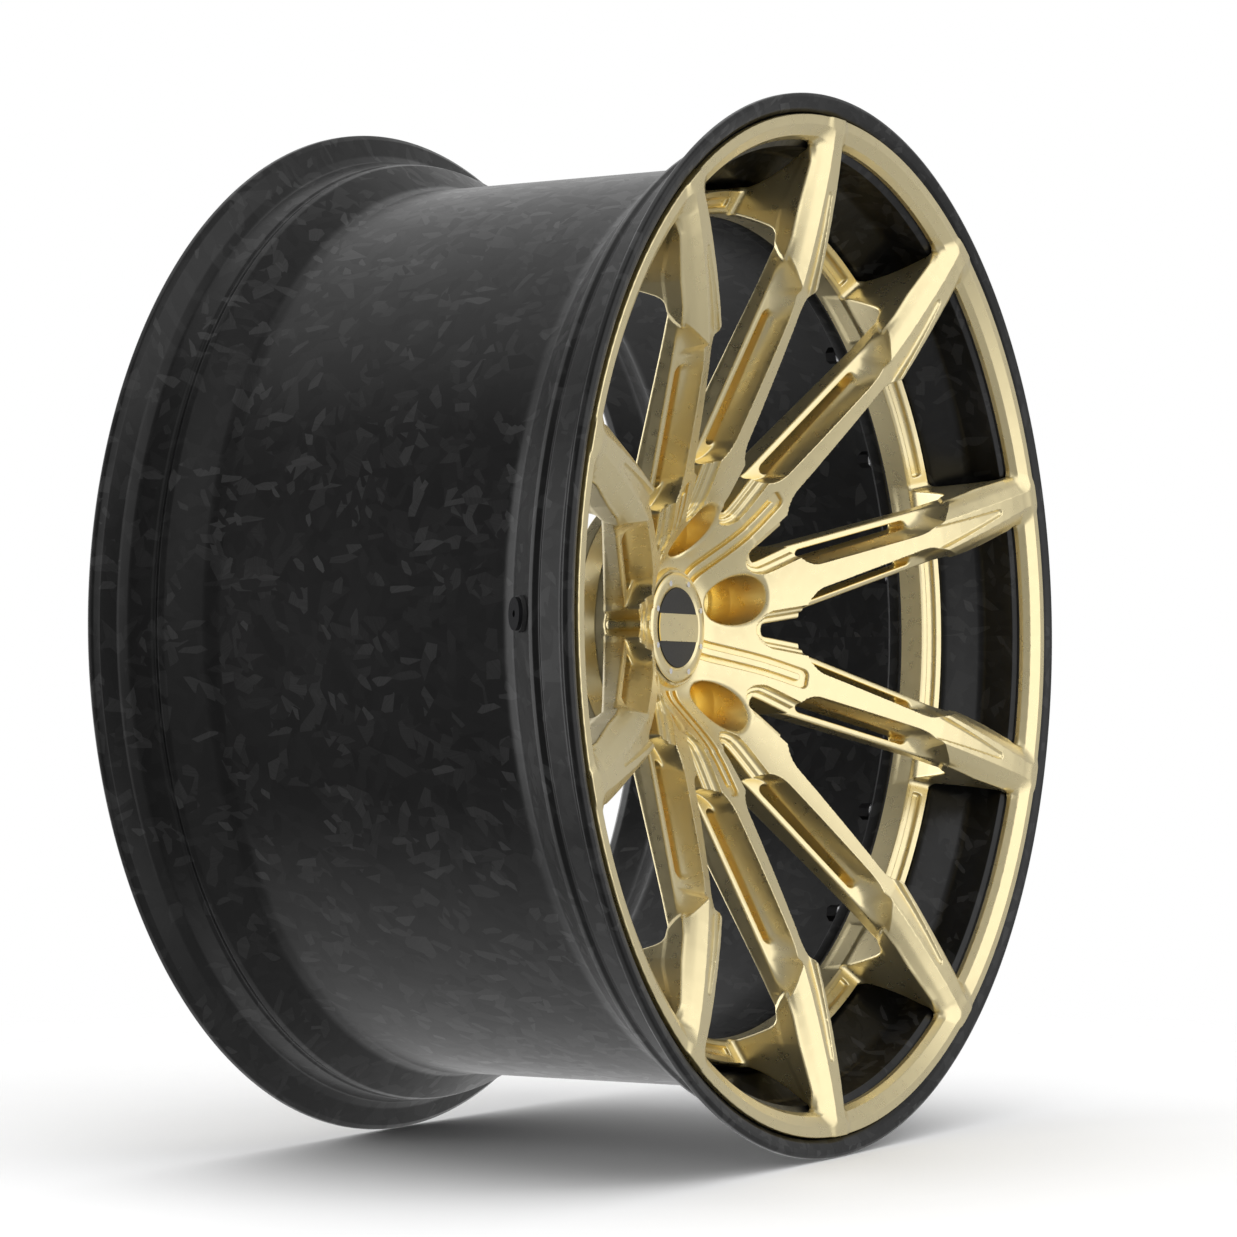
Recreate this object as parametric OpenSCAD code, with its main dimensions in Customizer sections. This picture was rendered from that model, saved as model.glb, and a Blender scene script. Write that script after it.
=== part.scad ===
// Wheel rim in two main pieces: a moulded carbon barrel and a machined ten-spoke centre.
// The centre is bolted to the barrel's inner flange; it carries a push-in cap.
// The barrel carries a clamp-in tyre valve.
// Millimetres. The axle runs along Y, the street side faces -Y, +Z is up.
// The origin is on the axle, at the mounting face.

/* [Rim] */
// Outside diameter over the flanges
rim_d = 598.6; // [570:0.2:630]
// Width over both flanges
overall_w = 302; // [280:1:325]
// Distance of the mounting face ahead of the rim's middle plane
offset_et = 15; // [5:1:25]
// Height of a flange above its bead seat
flange_h = 17.5; // [14:0.5:20]
// Radial width of the lip's face
lip_land = 4.9; // [3:0.1:6]
// Drop of the barrel's well below the bead seat
well_drop = 19; // [14:0.5:26]
// Wall thickness of the barrel
wall = 9; // [7:0.5:11]
// Depth from the lip to the top of the barrel's slope
slope_top_d = 36.5; // [34:0.5:40]
// Depth from the lip to the foot of the barrel's slope
slope_foot_d = 53.5; // [50:0.5:58]
// Thickness of the barrel's inner flange
flange_t = 9; // [7:0.5:12]
// Bevel on the rear edge of the inner flange's bore
flange_bevel = 2; // [1:0.5:3]

/* [Centre rings] */
// Height of the lip above the front ring's edge
ring_inset = 11.5; // [9.5:0.1:14]
// Radial width of the front ring
ring_w = 13.8; // [12:0.1:16]
// Width of the front ring's flat
ring_flat = 5.8; // [4:0.1:7]
// Depth of the front ring's face behind the lip
ring_face_d = 1.2; // [0.8:0.1:3]
// Thickness of the front ring at its bore
ring_t = 11.4; // [10:0.1:12.5]
// Thickness of the front ring at its edge
ring_edge_t = 3.4; // [2.6:0.1:4.2]
// Depth of the rear ring's front edge behind the lip
rear_ring_d = 54.6; // [50:0.2:60]
// Radial width of the rear ring
rear_ring_w = 13.5; // [12:0.1:15]
// Thickness of the rear ring
rear_ring_t = 22.2; // [18:0.2:26]
// Fall of the rear ring's front face towards its bore
rear_ring_rake = 7; // [4:0.5:9]
// Radial gap between the rear ring and the barrel's wall
rear_ring_gap = 4.3; // [3.8:0.1:6]
// Width of the pockets in the rear ring's face
pocket_w = 4.6; // [3:0.1:6]
// Depth of the pockets in the rear ring's face
pocket_t = 3; // [1:0.5:4]
// Half the angle that one pocket covers
pocket_half_deg = 11; // [8:0.5:12]

/* [Hub] */
// Bore that the car's hub spigot enters
hub_bore_d = 66.6; // [57:0.1:70]
// Depth of the spigot bore
hub_bore_l = 12; // [8:0.5:14]
// Diameter of the mounting face
pad_d = 154; // [152:1:162]
// Width of the web that closes the roots of the windows
root_web = 2; // [1:0.2:4]
// Height of the hub's top at the roots of the windows
root_z = 57.4; // [55:0.1:59]
// Height of the valley around the cap's boss
valley_z = 24.6; // [22:0.1:27]
// Height of the cap's boss
boss_z = 28.2; // [26:0.1:30]
// Width of the boss outside the cap's bore
boss_w = 4.6; // [3.5:0.1:6]
// Lug hole circle diameter
lug_pcd = 112; // [108:0.5:116]
// Lug hole diameter
lug_hole_d = 14.5; // [12.5:0.1:15.5]
// Lug pocket diameter
lug_pocket_d = 29.2; // [26:0.1:31]
// Height of the lug pocket's floor
lug_floor_z = 13; // [11:0.5:23]

/* [Spokes] */
// Distance from the axle to the start of a spoke's side shelves
shelf_s = 98; // [95:0.5:104]
// Height of the ridge at the start of the shelves
ridge_z = 68.4; // [64:0.2:72]
// Width of the ridge at the hub end
ridge_hub_w = 15.6; // [12:0.2:17]
// Width of the ridge at the rim end
ridge_rim_w = 8.2; // [6:0.2:11]
// Depth of the shelves below the ridge at the hub end
shelf_hub_drop = 16.4; // [14:0.2:18]
// Depth of the shelves below the ridge at the rim end
shelf_rim_drop = 14.8; // [12:0.2:16]
// Rise of the shelf's inner edge above its outer edge
shelf_rise = 3.4; // [2:0.2:5]
// Width of a spoke over its shelves at the hub end
spoke_hub_w = 41; // [38:0.5:43]
// Width of a spoke over its shelves at the rim end
spoke_rim_w = 34.4; // [32:0.2:37]
// Height of a spoke's side below the shelf at the hub end
side_hub_h = 13.8; // [11:0.2:16]
// Height of a spoke's side below the shelf at the rim end
side_rim_h = 10.2; // [8:0.2:13]
// Spread of each side towards the back
side_draft = 1.1; // [0.5:0.1:2]
// Width of the moulded step around the roots
step_w = 44.4; // [42:0.2:46]
// Depth of the moulded step around the roots
step_drop = 7.2; // [5:0.2:9]
// Slot width
slot_w = 5.9; // [4:0.1:6.5]
// Slot offset from the spoke's middle at the hub end
slot_hub_t = 12.75; // [12:0.05:13.2]
// Slot offset from the spoke's middle at the rim end
slot_rim_t = 11.15; // [10.6:0.05:11.8]
// Length of a spoke's head from its flare to its tip
flare_l = 106; // [100:0.5:112]
// Depth of the ridge behind the lip where it flares
flare_d = 27.1; // [24:0.1:30]
// Width of the head's top at its widest
head_w = 18.3; // [15:0.1:21]
// Depth of the head's widest place behind the lip
head_d = 19.4; // [17:0.1:22]
// Width of the head over its bevels
bevel_w = 34.2; // [31:0.2:36]
// Depth of the bevels' low corners behind the lip
bevel_d = 25.4; // [23:0.1:27]
// Width of the head's tip
tip_w = 8.8; // [6:0.2:12]
// Depth of the tip behind the lip
tip_d = 0.4; // [0.2:0.1:1]
// Width of the struts between the heads and the rear ring
strut_w = 34.8; // [30:0.2:36]

/* [Barrel joint] */
// Thickness of the rear gasket
gasket_t = 1; // [0.5:0.1:2]
// Thickness of the front isolator
isolator_t = 1; // [0.5:0.1:2]
// Assembly bolt diameter
bolt_d = 7; // [6:0.5:8]
// Length of bolt thread in the rear ring
bolt_grip = 10; // [8:0.5:13]
// Bolt head width across corners
bolt_head_d = 10.4; // [9:0.1:10.8]
// Bolt head height
bolt_head_h = 6; // [4:0.5:8]
// Wall of the flange sleeves
sleeve_wall = 1.3; // [0.8:0.1:1.4]
// Diameter of the sleeves' collars and of the washers
collar_d = 11.2; // [10.9:0.1:11.4]
// Thickness of the sleeves' collars
collar_t = 1; // [0.8:0.1:1.5]
// Thickness of the washers
washer_t = 1.4; // [1:0.1:2]

/* [Valve] */
// Angle of the valve around the axle
valve_deg = 180; // [0:36:324]
// Hole diameter in the barrel
valve_hole_d = 11.5; // [11.2:0.1:12.5]
// Depth of the flats around the hole
spot_t = 0.8; // [0.7:0.1:1.2]
// Thickness of the rubber grommet
grommet_t = 2.6; // [2:0.1:4]
// Grommet diameter
grommet_d = 19; // [17:0.5:20]
// Thickness of the stem's foot
foot_t = 2; // [1.5:0.1:3]
// Stem diameter where it passes through the barrel
stem_d = 11; // [9.5:0.1:11]
// Stem diameter inside the screw cap
neck_d = 7.7; // [7.2:0.1:8]
// Length of the stem beyond the nut
neck_l = 12; // [11.5:0.5:13]
// Thickness of the plain washer
plain_t = 1.5; // [1:0.1:2]
// Nut height
nut_h = 4.5; // [3.5:0.1:6]
// Nut width across corners
nut_d = 18; // [15.5:0.5:19]
// Diameter of the core's bore in the stem
core_bore_d = 5.3; // [5:0.1:5.6]
// Length of the valve core
core_l = 13; // [12:0.5:14]
// Pin diameter
pin_d = 1.5; // [1.2:0.1:1.7]
// Travel of the pin
pin_travel = 1.5; // [1:0.1:1.8]
// Length of the spring
spring_l = 5; // [4:0.1:5.5]
// Thickness of the seals
seal_t = 1; // [0.7:0.1:1.2]
// Screw cap diameter
screw_cap_d = 10.4; // [10:0.1:11]
// Length of the screw cap's bore over the neck
screw_cap_l = 8; // [6:0.5:8.5]
// Thickness of the screw cap's end
screw_cap_end = 1.3; // [1:0.1:2]

/* [Cap] */
// Cap diameter
cap_d = 63.9; // [61:0.1:66]
// Diameter of the cap's bore in the hub
cap_bore_d = 58.4; // [54:0.1:59.5]
// Plate thickness of the cap's body
plate_t = 1.2; // [1:0.1:2]
// Length of the cap's fingers
finger_l = 13; // [9:0.5:14.5]
// Finger thickness
finger_t = 1.8; // [1.2:0.1:2.4]
// Width of the cuts between the fingers
finger_cut = 3; // [1.5:0.5:5]
// Wire diameter of the retainer
wire_d = 1.8; // [1.2:0.1:2.4]
// Bezel thickness
bezel_t = 1.2; // [0.9:0.1:2]
// Diameter of the dark inlay
disc_d = 46; // [42:0.2:47]
// Inlay thickness
disc_t = 0.8; // [0.5:0.1:1]
// Height of the band across the inlay
band_w = 16; // [10:0.5:22]
// Band thickness
band_t = 0.8; // [0.4:0.1:1.2]
// Circle of the bezel screws
screw_pcd = 54.8; // [53.5:0.1:56]
// Screw head diameter
screw_head_d = 3.4; // [2.6:0.1:4]
// Screw head height
screw_head_h = 0.7; // [0.5:0.1:1.2]
// Screw shank diameter
screw_d = 1.6; // [1.2:0.1:2]

/* [Hidden] */
$fn = 64;

gold = [0.66, 0.58, 0.36];
carbon = [0.10, 0.10, 0.11];
steel = [0.62, 0.63, 0.65];
rubber = [0.05, 0.05, 0.05];

// Play between pieces that move against each other
run_gap = 0.3;
// Play between pieces that are fitted once
fit_gap = 0.1;
// Play between the centre's rings and the barrel
ring_gap = 0.4;
// Step between a slot's flanks and its drilled ends
slot_relief = 0.1;

spoke_n = 10;
lug_n = 5;
bolt_n = 20;
screw_n = 8;
finger_n = 6;
spoke_step = 360 / spoke_n;
first_spoke = spoke_step / 2;

rim_r = rim_d / 2;
seat_r = rim_r - flange_h;
barrel_r = seat_r - well_drop;
lip_z = overall_w / 2 - offset_et;
rear_z = lip_z - overall_w;
lip_in_r = rim_r - lip_land;

// The barrel's slope: its top, its foot and the inside surface one wall below it
slope_top = [seat_r - 3, slope_top_d];
slope_foot = [barrel_r + 2, slope_foot_d];
slope_len = norm(slope_foot - slope_top);
slope_n = [slope_top_d - slope_foot_d, slope_foot[0] - slope_top[0]] / slope_len;
slope_in = slope_top + wall * slope_n;
slope_rate = (slope_foot_d - slope_top_d) / (slope_foot[0] - slope_top[0]);
front_in_r = seat_r - 2.1 - wall;
barrel_in_r = barrel_r - wall;
slope_in_top_d = slope_in[1] + (front_in_r - slope_in[0]) * slope_rate;
slope_in_foot_d = slope_in[1] + (barrel_in_r - slope_in[0]) * slope_rate;

// Front ring and its seat in the barrel
ring_r = rim_r - ring_inset;
ring_in_r = ring_r - ring_w;
recess_r = ring_r + ring_gap;

// Depths of the front ring's back and of its seat in the barrel, both cones
function ring_back(r) = ring_face_d + ring_edge_t + (ring_r - r) * (ring_t - ring_edge_t) / ring_w;
function recess(r) = ring_back(r) + isolator_t;

// Rear ring and the barrel's inner flange
rear_r = barrel_in_r - rear_ring_gap;
rear_in_r = rear_r - rear_ring_w;
rear_back_d = rear_ring_d + rear_ring_t;
flange_d = rear_back_d + gasket_t;
flange_in_r = rear_in_r + ring_gap;
flange_fillet = rear_ring_gap - 0.8;
bolt_circle_r = (flange_in_r + flange_bevel + barrel_in_r - 4) / 2;
bolt_clear = bolt_d / 2 + fit_gap;
sleeve_r = bolt_clear + sleeve_wall;

// Heights along the axle, measured forward from the mounting face
flange_front_z = lip_z - flange_d;
flange_back_z = flange_front_z - flange_t;
collar_z = flange_back_z - collar_t;
washer_z = collar_z - washer_t;

// Spoke stations
tip_s = ring_r - 0.2;
flare_s = tip_s - flare_l;
wide_s = flare_s + 9.8;
low_s = flare_s + 25.7;
mid_s = tip_s - 42.3;
neck_s = min(tip_s - 18.3, front_in_r - 1.2);
flare_z = lip_z - flare_d;
wide_z = lip_z - head_d;
tip_z = lip_z - tip_d;
ridge_rate = (flare_z - ridge_z) / (flare_s - shelf_s);
root_r = step_w / 2 / sin(first_spoke) + root_web;
low_z = wide_z + (tip_z - wide_z) * 0.23;
mid_z = wide_z + (tip_z - wide_z) * 0.70;
neck_z = wide_z + (tip_z - wide_z) * 0.92;
strut_end_s = min(rear_r + 17, front_in_r - 4);

// Valve frame: its zero lies on the barrel's slope and its z points inwards and forwards
valve_at = (slope_top + slope_foot) / 2;
valve_tilt = atan2(-slope_n[0], -slope_n[1]);
spot_in_z = wall - spot_t;
nut_z = spot_in_z + plain_t;
nut_top = nut_z + nut_h;
neck_z0 = nut_top + 2.2;
stem_top = nut_top + neck_l;
core_z = stem_top - 0.5 - core_l;
bore_foot = core_z - seal_t - 1 - pin_travel - run_gap - 0.7;
spring_z = core_z + 1;
screw_cap_z = stem_top - screw_cap_l;

// Cap stack
cap_r = cap_d / 2;
cap_bore_r = cap_bore_d / 2;
finger_r = cap_bore_r - run_gap;
plate_z = boss_z;
bezel_z = plate_z + plate_t;
screw_z = bezel_z + bezel_t;

function at_front(list) = [for (p = list) [p[0], lip_z - p[1]]];
function at_rear(list) = [for (i = [len(list) - 1:-1:0]) [list[i][0], rear_z + list[i][1]]];

// Outside of one half of the rim, from the lip's inner edge to the drop centre: radius and depth
rim_outside = [
    [lip_in_r, 0.4], [rim_r - 2.2, 0], [rim_r - 0.8, 0.5], [rim_r - 0.1, 1.6], [rim_r, 2.6],
    [rim_r - 0.4, 4.6], [rim_r - 1.8, 6.2], [seat_r + 4.6, 11.6], [seat_r + 1.4, 14.2], [seat_r, 17.6],
    [seat_r - 1.5, 28], [seat_r - 2.5, 29.6], [seat_r - 2.5, 30.8], [seat_r - 1.9, 32.4],
    [seat_r - 1.9, 34.4], slope_top, slope_foot, [barrel_r + 0.5, slope_foot_d + 2.2],
    [barrel_r, slope_foot_d + 4.5]];

// Inside of the front half, from the inner flange to the lip
front_inside = [
    [flange_in_r, flange_d], [barrel_in_r - flange_fillet, flange_d],
    [barrel_in_r - 0.3 * flange_fillet, flange_d - 0.3 * flange_fillet],
    [barrel_in_r, flange_d - flange_fillet], [barrel_in_r, slope_in_foot_d],
    [front_in_r, slope_in_top_d], [front_in_r, recess(front_in_r)], [recess_r, recess(recess_r)],
    [recess_r + 0.5, recess(recess_r) - 1.4], [recess_r + 2.1, recess(recess_r) - 3], [lip_in_r - 1.4, 0.9]];

// Inside of the rear half, from the rear lip to the inner flange
rear_inside = [
    [barrel_in_r, slope_in_foot_d], [front_in_r, slope_in_top_d], [front_in_r, 17.5],
    [front_in_r + 3, 11.5], [front_in_r + 10, 6.2], [lip_in_r - 3, 2.2]];

module axle() rotate([90, 0, 0]) children();
module each_bolt() for (k = [0:bolt_n - 1]) rotate([0, 0, (k + 0.5) * 360 / bolt_n])
    translate([bolt_circle_r, 0, 0]) children();
module valve_frame() axle() rotate([0, 0, valve_deg]) translate([valve_at[0], 0, lip_z - valve_at[1]])
    rotate([0, -valve_tilt, 0]) children();
module tube(r_out, r_in, h) difference() {
    cylinder(r = r_out, h = h);
    translate([0, 0, -1]) cylinder(r = r_in, h = h + 2);
}
module ring(r_out, r_in, z0, z1) rotate_extrude($fn = 128)
    polygon([[r_in, z0], [r_out, z0], [r_out, z1], [r_in, z1]]);

module barrel() color(carbon) difference() {
    axle() difference() {
        rotate_extrude($fn = 144) polygon(concat(
            at_front(rim_outside),
            at_rear(rim_outside),
            [for (i = [len(rear_inside) - 1:-1:0]) [rear_inside[i][0], rear_z + rear_inside[i][1]]],
            [[barrel_in_r, flange_back_z - 4], [barrel_in_r - 1.2, flange_back_z - 1.2],
             [barrel_in_r - 4, flange_back_z], [flange_in_r + flange_bevel, flange_back_z],
             [flange_in_r, flange_back_z + flange_bevel]],
            at_front(front_inside)));
        each_bolt() translate([0, 0, flange_back_z - 1]) cylinder(r = sleeve_r + fit_gap, h = flange_t + 2);
    }
    valve_frame() {
        translate([0, 0, -10]) cylinder(d = valve_hole_d, h = wall + 20);
        translate([0, 0, -10]) cylinder(d = grommet_d + 1.5, h = 10 + spot_t);
        translate([0, 0, spot_in_z]) cylinder(d = nut_d + 3, h = 10);
    }
}

// Hub, turned to a dish with a boss for the cap
module hub_blank() rotate_extrude($fn = 96) polygon([
    [hub_bore_d / 2, 0], [pad_d / 2, 0], [pad_d / 2, 8], [root_r, 16], [root_r, root_z],
    [cap_bore_r + boss_w + 6.5, valley_z + 1.1], [cap_bore_r + boss_w + 3.5, valley_z],
    [cap_bore_r + boss_w + 1, valley_z + 0.8], [cap_bore_r + boss_w, boss_z - 0.8],
    [cap_bore_r + boss_w - 0.8, boss_z], [cap_bore_r, boss_z], [cap_bore_r, hub_bore_l],
    [hub_bore_d / 2, hub_bore_l]]);

module front_ring() rotate_extrude($fn = 144) polygon(at_front([
    [ring_r, ring_back(ring_r)], [ring_r, ring_face_d + 0.6], [ring_r - 0.6, ring_face_d],
    [ring_r - ring_flat, ring_face_d + 0.2], [ring_in_r + 2.1, ring_face_d + 4.3],
    [ring_in_r, ring_face_d + 8.5], [ring_in_r, ring_back(ring_in_r)]]));

module rear_ring() rotate_extrude($fn = 144) polygon(at_front([
    [rear_r, rear_back_d], [rear_r, rear_ring_d + 1], [rear_r - 1, rear_ring_d],
    [rear_in_r + 0.8, rear_ring_d + rear_ring_rake], [rear_in_r, rear_ring_d + rear_ring_rake + 0.8],
    [rear_in_r, rear_back_d]]));

// One section of a spoke at distance s: ridge, cove foot, shelf edge and back edge on both sides
function section(s, z, ridge, cove, cove_drop, edge, edge_drop, back, back_drop) = [
    [s, ridge, z], [s, cove, z - cove_drop], [s, edge, z - edge_drop], [s, back, z - back_drop],
    [s, -back, z - back_drop], [s, -edge, z - edge_drop], [s, -cove, z - cove_drop], [s, -ridge, z]];

spoke_sections = concat(
    section(lug_pcd / 2, root_z - root_r + lug_pcd / 2, step_w / 4, step_w / 3, step_drop / 4,
        step_w / 2, step_drop, step_w / 2, 25),
    section(root_r + 2, root_z + 2.2, step_w / 4, step_w / 3.4, step_drop - 1, step_w / 2, step_drop,
        step_w / 2, 31),
    section(shelf_s - 6, ridge_z - 6 * ridge_rate, step_w / 4.2, step_w / 3.4, step_drop - 1, step_w / 2,
        step_drop, step_w / 2, shelf_hub_drop + side_hub_h + 0.6),
    section(shelf_s, ridge_z, ridge_hub_w / 2, slot_hub_t - slot_w / 2 + 0.9, shelf_hub_drop - shelf_rise,
        spoke_hub_w / 2, shelf_hub_drop, spoke_hub_w / 2 + side_draft, shelf_hub_drop + side_hub_h),
    section(flare_s, flare_z, ridge_rim_w / 2, slot_rim_t - slot_w / 2 + 0.9, shelf_rim_drop - shelf_rise,
        spoke_rim_w / 2, shelf_rim_drop, spoke_rim_w / 2 + side_draft, shelf_rim_drop + side_rim_h),
    section(wide_s, wide_z, head_w / 2, head_w / 2 + 2, shelf_rim_drop - 0.8, spoke_rim_w / 2 - 0.3,
        shelf_rim_drop + 2.6, spoke_rim_w / 2 + side_draft - 0.3, shelf_rim_drop + side_rim_h + 2.4),
    section(low_s, low_z, head_w / 2 - 0.8, (head_w + bevel_w) / 4 - 0.3, (low_z - lip_z + bevel_d) / 2 - 0.2,
        bevel_w / 2, low_z - lip_z + bevel_d, bevel_w / 2 + 0.9, low_z - lip_z + bevel_d + 12.8),
    section(mid_s, mid_z, head_w * 0.36, head_w * 0.36 + 4.6, 4.7, bevel_w / 2 - 1.3, 9.8,
        bevel_w / 2 - 0.6, 21.6),
    section(neck_s, neck_z, tip_w / 2 + 0.9, tip_w / 2 + 5.6, 3.9, bevel_w / 2 - 2.1, 8.2,
        bevel_w / 2 - 1.7, neck_z - lip_z + ring_back(neck_s) - 0.8),
    section(tip_s, tip_z, tip_w / 2, tip_w / 2 + 1.1, 0.9, tip_w / 2 + 2.1, 2.2, tip_w / 2 + 2.1,
        ring_face_d + ring_edge_t - tip_d - 0.2));
section_n = len(spoke_sections) / 8;

spoke_faces = concat(
    [for (j = [1:6]) [0, j + 1, j]],
    [for (j = [1:6]) [0, j, j + 1] + [1, 1, 1] * 8 * (section_n - 1)],
    [for (i = [0:section_n - 2]) for (j = [0:7]) [8 * i + j, 8 * i + (j + 1) % 8, 8 * i + 8 + j]],
    [for (i = [0:section_n - 2]) for (j = [0:7])
        [8 * i + (j + 1) % 8, 8 * i + 8 + (j + 1) % 8, 8 * i + 8 + j]]);

// Side view of the strut from a head down to the rear ring
module strut() intersection() {
    rotate([90, 0, 0]) linear_extrude(height = 60, center = true) polygon(at_front([
        [rear_in_r - 16, 29], [rear_in_r - 10.4, 35.5], [rear_in_r - 7.6, 42],
        [rear_in_r - 4, 52], [rear_in_r - 0.6, rear_ring_d + rear_ring_rake],
        [rear_in_r + 0.6, rear_ring_d + rear_ring_rake + 4], [rear_r - 1, rear_ring_d + rear_ring_rake + 4],
        [rear_r - 0.6, rear_ring_d], [rear_r + 2.5, 44], [rear_r + 7, 33], [strut_end_s - 4, 22.5],
        [strut_end_s, 15.5], [strut_end_s, 13.2], [rear_in_r - 16, 25.5]]));
    linear_extrude(height = 3 * lip_z, center = true) polygon([
        [rear_in_r - 30, -strut_w / 2], [strut_end_s + 2, 2.2 - strut_w / 2],
        [strut_end_s + 2, strut_w / 2 - 2.2], [rear_in_r - 30, strut_w / 2]]);
}

module spoke() {
    polyhedron(points = spoke_sections, faces = spoke_faces);
    strut();
}

// One straight slot with drilled round ends, cut along the axle
module slot(side) {
    hub_end = [shelf_s + 9.6, side * slot_hub_t];
    rim_end = [flare_s - 5, side * slot_rim_t];
    run = rim_end - hub_end;
    translate(hub_end) cylinder(d = slot_w, h = lip_z, $fn = 24);
    translate(rim_end) cylinder(d = slot_w, h = lip_z, $fn = 24);
    translate(hub_end) rotate([0, 0, atan2(run[1], run[0])]) translate([0, slot_relief - slot_w / 2, 0])
        cube([norm(run), slot_w - 2 * slot_relief, lip_z]);
}

module lug_hole() translate([lug_pcd / 2, 0, 0]) {
    translate([0, 0, -1]) cylinder(d = lug_hole_d, h = lug_floor_z + 1);
    translate([0, 0, lug_floor_z - 5.2]) cylinder(d1 = lug_hole_d, d2 = lug_hole_d + 10, h = 5.3);
    translate([0, 0, lug_floor_z]) cylinder(d = lug_pocket_d, h = lip_z);
}

module ring_pocket() rotate([0, 0, -pocket_half_deg]) rotate_extrude(angle = 2 * pocket_half_deg, $fn = 144)
    polygon(at_front([
        [rear_in_r + 3.6, rear_ring_d - 2], [rear_in_r + 3.6 + pocket_w, rear_ring_d - 2],
        [rear_in_r + 3.6 + pocket_w, rear_ring_d + rear_ring_rake / 2 + pocket_t],
        [rear_in_r + 3.6, rear_ring_d + rear_ring_rake / 2 + pocket_t]]));

module centre() color(gold) axle() difference() {
    union() {
        hub_blank();
        front_ring();
        rear_ring();
        for (k = [0:spoke_n - 1]) rotate([0, 0, first_spoke + k * spoke_step]) spoke();
    }
    for (k = [0:lug_n - 1]) rotate([0, 0, first_spoke + 2 * k * spoke_step]) lug_hole();
    for (k = [0:spoke_n - 1]) rotate([0, 0, first_spoke + k * spoke_step]) {
        slot(1);
        slot(-1);
    }
    for (k = [0:spoke_n - 1]) rotate([0, 0, k * spoke_step]) ring_pocket();
    each_bolt() translate([0, 0, lip_z - rear_back_d - 1])
        cylinder(r = bolt_d / 2 + fit_gap, h = bolt_grip + 2);
}

module front_isolator() color(rubber) axle() rotate_extrude($fn = 128) polygon(at_front([
    [ring_in_r + 0.3, ring_back(ring_in_r + 0.3) + fit_gap],
    [ring_in_r + 0.3, recess(ring_in_r + 0.3) - fit_gap],
    [ring_r - 0.3, recess(ring_r - 0.3) - fit_gap], [ring_r - 0.3, ring_back(ring_r - 0.3) + fit_gap]]));

module rear_gasket() color(rubber) axle() difference() {
    ring(rear_r - 0.3, flange_in_r + 0.3, flange_front_z, flange_front_z + gasket_t);
    each_bolt() translate([0, 0, flange_front_z - 1]) cylinder(r = bolt_clear + 0.4, h = gasket_t + 2);
}

module flange_sleeves() color(steel) axle() each_bolt() difference() {
    union() {
        translate([0, 0, flange_back_z]) cylinder(r = sleeve_r, h = flange_t);
        translate([0, 0, collar_z]) cylinder(d = collar_d, h = collar_t);
    }
    translate([0, 0, collar_z - 1]) cylinder(r = bolt_clear, h = flange_t + collar_t + 2);
}

module bolt_washers() color(steel) axle() each_bolt() translate([0, 0, washer_z])
    tube(collar_d / 2, bolt_clear, washer_t);

module assembly_bolts() color(steel) axle() each_bolt() {
    translate([0, 0, washer_z])
        cylinder(d = bolt_d, h = washer_t + collar_t + flange_t + gasket_t + bolt_grip);
    translate([0, 0, washer_z - bolt_head_h]) cylinder(d = bolt_head_d, h = bolt_head_h, $fn = 6);
}

module valve_grommet() color(rubber) valve_frame() translate([0, 0, spot_t - grommet_t])
    tube(grommet_d / 2, stem_d / 2 + fit_gap, grommet_t);

module valve_stem() color(steel) valve_frame() difference() {
    rotate_extrude() polygon([
        [0, spot_t - grommet_t - foot_t], [grommet_d / 2 - 1, spot_t - grommet_t - foot_t],
        [grommet_d / 2 - 1, spot_t - grommet_t], [stem_d / 2, spot_t - grommet_t],
        [stem_d / 2, nut_top + 0.7], [neck_d / 2, neck_z0], [neck_d / 2, stem_top], [0, stem_top]]);
    translate([0, 0, bore_foot]) cylinder(d = core_bore_d, h = stem_top);
    translate([0, 0, -20]) cylinder(d = core_bore_d - 1.7, h = 20 + stem_top);
}

module valve_washer() color(steel) valve_frame() translate([0, 0, spot_in_z])
    tube(nut_d / 2 + 0.8, stem_d / 2 + fit_gap, plain_t);

module valve_nut() color(steel) valve_frame() translate([0, 0, nut_z]) difference() {
    cylinder(d = nut_d, h = nut_h, $fn = 6);
    translate([0, 0, -1]) cylinder(r = stem_d / 2 + fit_gap, h = nut_h + 2);
}

module valve_core() color(gold) valve_frame() difference() {
    translate([0, 0, core_z]) cylinder(r = core_bore_d / 2 - fit_gap, h = core_l);
    translate([0, 0, core_z - 1]) cylinder(r = pin_d / 2 + run_gap, h = core_l + 2);
    translate([0, 0, spring_z]) cylinder(r = pin_d / 2 + 1, h = spring_l + 1.5);
}

module valve_core_seal() color(rubber) valve_frame() translate([0, 0, core_z - seal_t])
    tube(core_bore_d / 2 - fit_gap, pin_d / 2 + run_gap, seal_t);

module valve_core_pin() color(gold) valve_frame() {
    translate([0, 0, core_z - seal_t - 1]) cylinder(r = core_bore_d / 2 - run_gap, h = 1);
    translate([0, 0, core_z - seal_t - 1]) cylinder(d = pin_d, h = core_l + seal_t + 1.2);
    translate([0, 0, spring_z + spring_l]) cylinder(r = pin_d / 2 + 0.7, h = 0.8);
}

module valve_core_spring() color(steel) valve_frame() translate([0, 0, spring_z])
    tube(pin_d / 2 + 0.75, pin_d / 2 + run_gap, spring_l);

module valve_cap() color(gold) valve_frame() difference() {
    translate([0, 0, screw_cap_z]) cylinder(d = screw_cap_d, h = screw_cap_l + seal_t + screw_cap_end);
    translate([0, 0, screw_cap_z - 1]) cylinder(r = neck_d / 2 + run_gap, h = screw_cap_l + seal_t + 1);
}

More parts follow.
